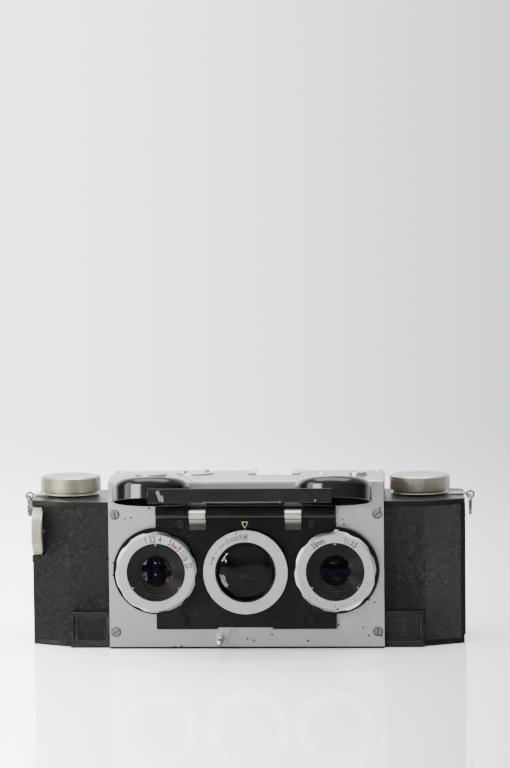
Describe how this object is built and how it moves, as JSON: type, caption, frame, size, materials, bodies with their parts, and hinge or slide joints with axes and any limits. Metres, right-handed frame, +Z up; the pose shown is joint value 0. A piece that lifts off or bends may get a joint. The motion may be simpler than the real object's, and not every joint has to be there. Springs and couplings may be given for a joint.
{
  "type": "stereo camera",
  "caption": "Vintage twin-lens stereo camera for 35 mm film, with its hinged lens cover swung open, coupled lens rings, knobs, focusing wheel and lift-off back.",
  "frame": {"origin": "middle of the base, under the centre lens, on the plane that the camera stands on", "axes": "+X to the right as seen from the front, +Y towards the back, +Z up; the lenses look along -Y"},
  "size_m": [0.1792, 0.0914, 0.0722],
  "materials": {
    "black_enamel": "black crackle enamel on a light-alloy casting",
    "gloss_black": "gloss black enamel with worn, brownish highlights",
    "matt_black": "satin black anodised turned metal",
    "satin_aluminium": "fine satin, with small dark pits",
    "bright_steel": "polished nickel-chrome",
    "aged_nickel": "yellowed nickel plate, fine knurl",
    "blackened_steel": "blackened",
    "spring_steel": "plain wire",
    "brass": "machined",
    "leatherette": "black pebble grain",
    "black_plastic": "moulded",
    "clear_glass": "clear, dark behind",
    "coated_glass": "violet and amber coated",
    "mirror": "front-silvered"
  },
  "bodies": {
    "camera_body": {"body_casting": "black_enamel", "base_plate": "black_enamel", "tripod_bush": "bright_steel", "front_panel": "satin_aluminium", "top_hood": "satin_aluminium", "lens_board": "gloss_black", "left_front_leather": "leatherette", "right_front_leather": "leatherette", "window_frames": "matt_black", "window_glasses": "clear_glass", "shutter_cases": "matt_black", "front_cells": "matt_black", "rear_cells": "matt_black", "lens_elements": "coated_glass", "iris_blades": "blackened_steel", "finder_tube": "matt_black", "finder_lenses": "clear_glass", "finder_mirrors": "mirror", "eyepiece_tubes": "matt_black", "eyepiece_lenses": "clear_glass", "left_range_mirror": "mirror", "beam_splitter": "mirror", "accessory_shoe": "bright_steel", "hinge_clips": "bright_steel", "hinge_rod": "blackened_steel", "strap_lugs": "bright_steel", "focus_pointer": "bright_steel", "release_collar": "bright_steel", "gate_guide_pins": "bright_steel", "panel_screws": "bright_steel", "board_screws": "blackened_steel", "hood_screws": "bright_steel", "shutter_button_spring": "spring_steel"},
    "lens_cover": {"lens_cover": "gloss_black"},
    "aperture_ring": {"aperture_ring": "satin_aluminium"},
    "twin_aperture_ring": {"twin_aperture_ring": "satin_aluminium"},
    "iris_idler_gear": {"iris_idler_gear": "brass"},
    "speed_ring": {"speed_ring": "satin_aluminium"},
    "cocking_lever": {"cocking_lever": "bright_steel"},
    "shutter_button": {"shutter_button": "bright_steel"},
    "film_release_button": {"film_release_button": "bright_steel"},
    "counter_dial": {"counter_dial": "satin_aluminium"},
    "winding_knob": {"winding_knob": "aged_nickel", "take_up_spool": "black_plastic"},
    "film_sprocket": {"film_sprocket": "bright_steel"},
    "rewind_bush": {"rewind_bush": "brass"},
    "rewind_knob": {"rewind_knob": "aged_nickel"},
    "focus_wheel": {"focus_wheel": "aged_nickel", "focus_cam_shaft": "bright_steel"},
    "film_gate": {"film_gate": "blackened_steel"},
    "range_mirror": {"range_mirror": "mirror"},
    "left_inner_blade": {"left_inner_blade": "blackened_steel"},
    "left_outer_blade": {"left_outer_blade": "blackened_steel"},
    "right_inner_blade": {"right_inner_blade": "blackened_steel"},
    "right_outer_blade": {"right_outer_blade": "blackened_steel"},
    "latch_key": {"latch_key": "bright_steel"},
    "left_strap_ring": {"left_strap_ring": "bright_steel"},
    "right_strap_ring": {"right_strap_ring": "bright_steel"},
    "back_cover": {"back_cover": "black_enamel"},
    "pressure_plate": {"pressure_plate": "blackened_steel"}
  },
  "joints": [
    {"name": "cover_hinge", "type": "hinge", "parent": "camera_body", "child": "lens_cover", "pos_m": [0, -0.0261, 0.0533], "axis": [1, 0, 0], "range_deg": [0, 103.6]},
    {"name": "aperture_turn", "type": "hinge", "parent": "camera_body", "child": "aperture_ring", "pos_m": [-0.035, 0, 0.0311], "axis": [0, 1, 0], "range_deg": [-18, 77]},
    {"name": "twin_aperture_turn", "type": "hinge", "parent": "camera_body", "child": "twin_aperture_ring", "pos_m": [0.035, 0, 0.0311], "axis": [0, 1, 0], "range_deg": [-18, 77]},
    {"name": "iris_idler_turn", "type": "hinge", "parent": "camera_body", "child": "iris_idler_gear", "pos_m": [0, 0, 0.0311], "axis": [0, 1, 0], "range_deg": [-62, 15]},
    {"name": "speed_turn", "type": "hinge", "parent": "camera_body", "child": "speed_ring", "pos_m": [0, 0, 0.0311], "axis": [0, 1, 0], "range_deg": [0, 73.5]},
    {"name": "cocking_swing", "type": "hinge", "parent": "camera_body", "child": "cocking_lever", "pos_m": [0, 0, 0.0311], "axis": [0, 1, 0], "range_deg": [-40.6, 0], "stiffness_Nm_per_rad": 0.004, "springref_deg": 20.05},
    {"name": "shutter_press", "type": "slide", "parent": "camera_body", "child": "shutter_button", "axis": [0, 0, 1], "range_m": [-0.0015, 0], "stiffness_N_per_m": 300, "springref_m": 0.003, "deforming": ["shutter_button_spring"]},
    {"name": "film_release_press", "type": "slide", "parent": "camera_body", "child": "film_release_button", "axis": [0, 0, 1], "range_m": [-0.001, 0], "stiffness_N_per_m": 250, "springref_m": 0.002},
    {"name": "counter_turn", "type": "hinge", "parent": "camera_body", "child": "counter_dial", "pos_m": [-0.0212, 0.002, 0.066], "axis": [0, 0, 1], "continuous": true},
    {"name": "wind_turn", "type": "hinge", "parent": "camera_body", "child": "winding_knob", "pos_m": [-0.0717, 0.0095, 0.062], "axis": [0, 0, 1], "continuous": true},
    {"name": "sprocket_turn", "type": "hinge", "parent": "camera_body", "child": "film_sprocket", "pos_m": [-0.05335, 0.0106, 0.031], "axis": [0, 0, 1], "continuous": true},
    {"name": "rewind_lift", "type": "slide", "parent": "camera_body", "child": "rewind_bush", "axis": [0, 0, 1], "range_m": [0, 0.006]},
    {"name": "rewind_turn", "type": "hinge", "parent": "rewind_bush", "child": "rewind_knob", "pos_m": [0.0678, 0.0095, 0.062], "axis": [0, 0, 1], "continuous": true},
    {"name": "focus_turn", "type": "hinge", "parent": "camera_body", "child": "focus_wheel", "pos_m": [-0.0827, -0.01, 0.0453], "axis": [1, 0, 0], "range_deg": [-300, 0]},
    {"name": "film_gate_slide", "type": "slide", "parent": "camera_body", "child": "film_gate", "axis": [0, 1, 0], "range_m": [0, 0.0017]},
    {"name": "range_mirror_tilt", "type": "hinge", "parent": "camera_body", "child": "range_mirror", "pos_m": [0.0615, -0.0126, 0.0072], "axis": [0, 0, 1], "range_deg": [0, 1.6]},
    {"name": "left_inner_blade_swing", "type": "hinge", "parent": "camera_body", "child": "left_inner_blade", "pos_m": [-0.0304, -0.018, 0.0405], "axis": [0, 1, 0], "range_deg": [-30, 0], "stiffness_Nm_per_rad": 0.0001, "springref_deg": 17.19},
    {"name": "left_outer_blade_swing", "type": "hinge", "parent": "camera_body", "child": "left_outer_blade", "pos_m": [-0.0396, -0.018, 0.0405], "axis": [0, 1, 0], "range_deg": [0, 30]},
    {"name": "right_inner_blade_swing", "type": "hinge", "parent": "camera_body", "child": "right_inner_blade", "pos_m": [0.0304, -0.018, 0.0405], "axis": [0, 1, 0], "range_deg": [0, 30]},
    {"name": "right_outer_blade_swing", "type": "hinge", "parent": "camera_body", "child": "right_outer_blade", "pos_m": [0.0396, -0.018, 0.0405], "axis": [0, 1, 0], "range_deg": [-30, 0]},
    {"name": "latch_key_turn", "type": "hinge", "parent": "camera_body", "child": "latch_key", "pos_m": [-0.034, 0.008, 0.001], "axis": [0, 0, 1], "range_deg": [0, 90]},
    {"name": "left_strap_ring_swing", "type": "hinge", "parent": "camera_body", "child": "left_strap_ring", "pos_m": [-0.0879, 0.0065, 0.0572], "axis": [0, 1, 0], "range_deg": [-6, 140]},
    {"name": "right_strap_ring_swing", "type": "hinge", "parent": "camera_body", "child": "right_strap_ring", "pos_m": [0.0879, 0.0065, 0.0572], "axis": [0, 1, 0], "range_deg": [-140, 6]},
    {"name": "back_cover_lift_off", "type": "slide", "parent": "camera_body", "child": "back_cover", "axis": [0, 1, 0], "range_m": [0, 0.06]},
    {"name": "pressure_plate_spring", "type": "slide", "parent": "back_cover", "child": "pressure_plate", "axis": [0, 1, 0], "range_m": [0, 0.00171]}
  ],
  "couplings": [
    {"joint": "twin_aperture_turn", "follows": "aperture_turn", "ratio": 1},
    {"joint": "iris_idler_turn", "follows": "aperture_turn", "ratio": -0.79487},
    {"joint": "sprocket_turn", "follows": "wind_turn", "ratio": 1.4},
    {"joint": "counter_turn", "follows": "wind_turn", "ratio": 0.1},
    {"joint": "focus_turn", "follows": "film_gate_slide", "rad_per_m": -3079.7},
    {"joint": "pressure_plate_spring", "follows": "film_gate_slide", "ratio": 1},
    {"joint": "range_mirror_tilt", "follows": "film_gate_slide", "rad_per_m": 15.4},
    {"joint": "left_outer_blade_swing", "follows": "left_inner_blade_swing", "ratio": -1},
    {"joint": "right_inner_blade_swing", "follows": "left_inner_blade_swing", "ratio": -1},
    {"joint": "right_outer_blade_swing", "follows": "left_inner_blade_swing", "ratio": 1}
  ]
}
